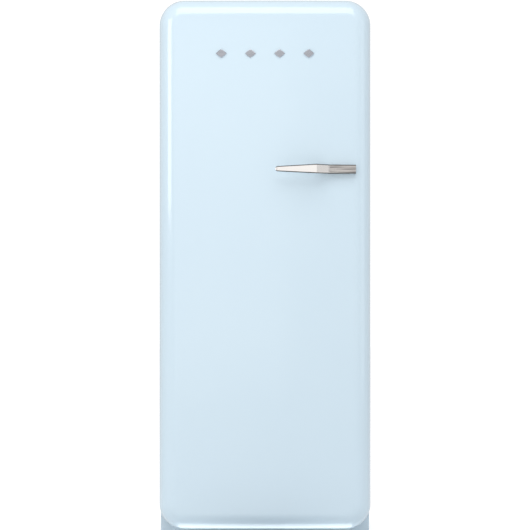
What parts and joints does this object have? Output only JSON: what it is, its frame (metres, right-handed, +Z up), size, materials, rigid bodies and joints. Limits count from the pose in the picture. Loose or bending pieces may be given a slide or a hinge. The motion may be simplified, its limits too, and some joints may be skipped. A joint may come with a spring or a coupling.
{
  "type": "refrigerator",
  "caption": "Tall retro refrigerator with one pillow-edged door hinged on the left, a bar handle, an inner freezer box, glass shelves, drawers, door bins and a rear condenser.",
  "frame": {"origin": "on the floor, under the middle of the bounding box", "axes": "+Z up, the door faces -Y, +X to the right of someone facing the door"},
  "size_m": [0.601, 0.748, 1.55],
  "materials": {
    "body_paint": "gloss",
    "galvanised": "satin",
    "bracket_steel": "gloss",
    "foam": "matte",
    "liner_white": "gloss",
    "gasket": "satin",
    "glass": "gloss",
    "clear_plastic": "gloss",
    "chrome": "gloss",
    "aluminium": "satin",
    "black_paint": "satin",
    "black_plastic": "matte",
    "grey_plastic": "matte",
    "rubber": "matte",
    "copper": "satin"
  },
  "bodies": {
    "cabinet": {"cabinet_shell": "body_paint", "front_frame": "body_paint", "base_tray": "galvanised", "bay_panel": "galvanised", "rear_panel": "galvanised", "cabinet_foam": "foam", "inner_liner": "liner_white", "hinge_brackets": "bracket_steel", "foot_sockets": "galvanised", "roller_brackets": "galvanised", "crisper_cover": "glass", "glass_shelf_lower": "glass", "glass_shelf_middle": "glass", "glass_shelf_upper": "glass", "shelf_trims": "chrome", "bottle_rack": "chrome", "drawer_runners": "liner_white", "freezer_box": "liner_white", "evaporator_plate": "aluminium", "freezer_frame": "liner_white", "control_housing": "liner_white", "lamp_cover": "clear_plastic", "switch_housing": "liner_white", "fan_cover": "liner_white", "fan_motor": "black_plastic", "compressor": "black_paint", "compressor_mounts": "rubber", "start_relay": "black_plastic", "evaporation_tray": "black_plastic", "filter_drier": "copper", "copper_pipes": "copper", "condenser_tube": "black_paint", "condenser_wires": "black_paint", "wall_spacers": "black_plastic", "mains_inlet": "black_plastic"},
    "door": {"door_skin": "body_paint", "door_foam": "foam", "door_liner": "liner_white", "door_gasket": "gasket", "hinge_pockets": "grey_plastic", "hinge_bushes": "grey_plastic", "handle_grip": "chrome", "handle_screws": "galvanised", "badge_studs": "chrome", "bottle_bin": "clear_plastic", "middle_bin": "clear_plastic", "upper_bin": "clear_plastic", "dairy_bin": "clear_plastic", "bin_rails": "chrome"},
    "dairy_lid": {"dairy_lid": "clear_plastic"},
    "freezer_door": {"freezer_door": "liner_white"},
    "crisper_drawer": {"crisper_drawer": "clear_plastic"},
    "chill_drawer": {"chill_drawer": "clear_plastic"},
    "light_plunger": {"light_plunger": "liner_white"},
    "thermostat_knob": {"thermostat_knob": "liner_white"},
    "fan_rotor": {"fan_rotor": "grey_plastic"},
    "rear_roller_left": {"rear_roller_left": "black_plastic"},
    "rear_roller_right": {"rear_roller_right": "black_plastic"},
    "front_foot_left": {"front_foot_left": "black_plastic"},
    "front_foot_right": {"front_foot_right": "black_plastic"}
  },
  "joints": [
    {"name": "door_swing", "type": "hinge", "parent": "cabinet", "child": "door", "pos_m": [-0.2805, -0.251, 0.7975], "axis": [0, 0, -1], "range_deg": [0, 110]},
    {"name": "freezer_door_swing", "type": "hinge", "parent": "cabinet", "child": "freezer_door", "pos_m": [-0.228, -0.092, 1.3875], "axis": [0, 0, -1], "range_deg": [0, 78]},
    {"name": "crisper_slide", "type": "slide", "parent": "cabinet", "child": "crisper_drawer", "axis": [0, -1, 0], "range_m": [0, 0.14]},
    {"name": "chill_slide", "type": "slide", "parent": "cabinet", "child": "chill_drawer", "axis": [0, -1, 0], "range_m": [0, 0.2]},
    {"name": "light_plunger_slide", "type": "slide", "parent": "cabinet", "child": "light_plunger", "axis": [0, -1, 0], "range_m": [0, 0.005]},
    {"name": "thermostat_turn", "type": "hinge", "parent": "cabinet", "child": "thermostat_knob", "pos_m": [0.08, -0.08, 1.2545], "axis": [0, -1, 0], "range_deg": [0, 270]},
    {"name": "fan_spin", "type": "hinge", "parent": "cabinet", "child": "fan_rotor", "pos_m": [0, 0.265, 1.12844], "axis": [0, -1, 0], "continuous": true},
    {"name": "rear_roller_left_spin", "type": "hinge", "parent": "cabinet", "child": "rear_roller_left", "pos_m": [-0.235, 0.296, 0.015], "axis": [1, 0, 0], "continuous": true},
    {"name": "rear_roller_right_spin", "type": "hinge", "parent": "cabinet", "child": "rear_roller_right", "pos_m": [0.235, 0.296, 0.015], "axis": [1, 0, 0], "continuous": true},
    {"name": "front_foot_left_turn", "type": "hinge", "parent": "cabinet", "child": "front_foot_left", "pos_m": [-0.25, -0.154, 0.01], "axis": [0, 0, 1], "continuous": true},
    {"name": "front_foot_right_turn", "type": "hinge", "parent": "cabinet", "child": "front_foot_right", "pos_m": [0.25, -0.154, 0.01], "axis": [0, 0, 1], "continuous": true},
    {"name": "dairy_lid_swing", "type": "hinge", "parent": "door", "child": "dairy_lid", "pos_m": [0, -0.205, 1.0895], "axis": [1, 0, 0], "range_deg": [0, 88]}
  ],
  "couplings": [
    {"joint": "freezer_door_swing", "follows": "door_swing", "ratio": 0.709},
    {"joint": "crisper_slide", "follows": "door_swing", "m_per_rad": 0.0729},
    {"joint": "chill_slide", "follows": "door_swing", "m_per_rad": 0.1041},
    {"joint": "light_plunger_slide", "follows": "door_swing", "m_per_rad": 0.0026}
  ]
}
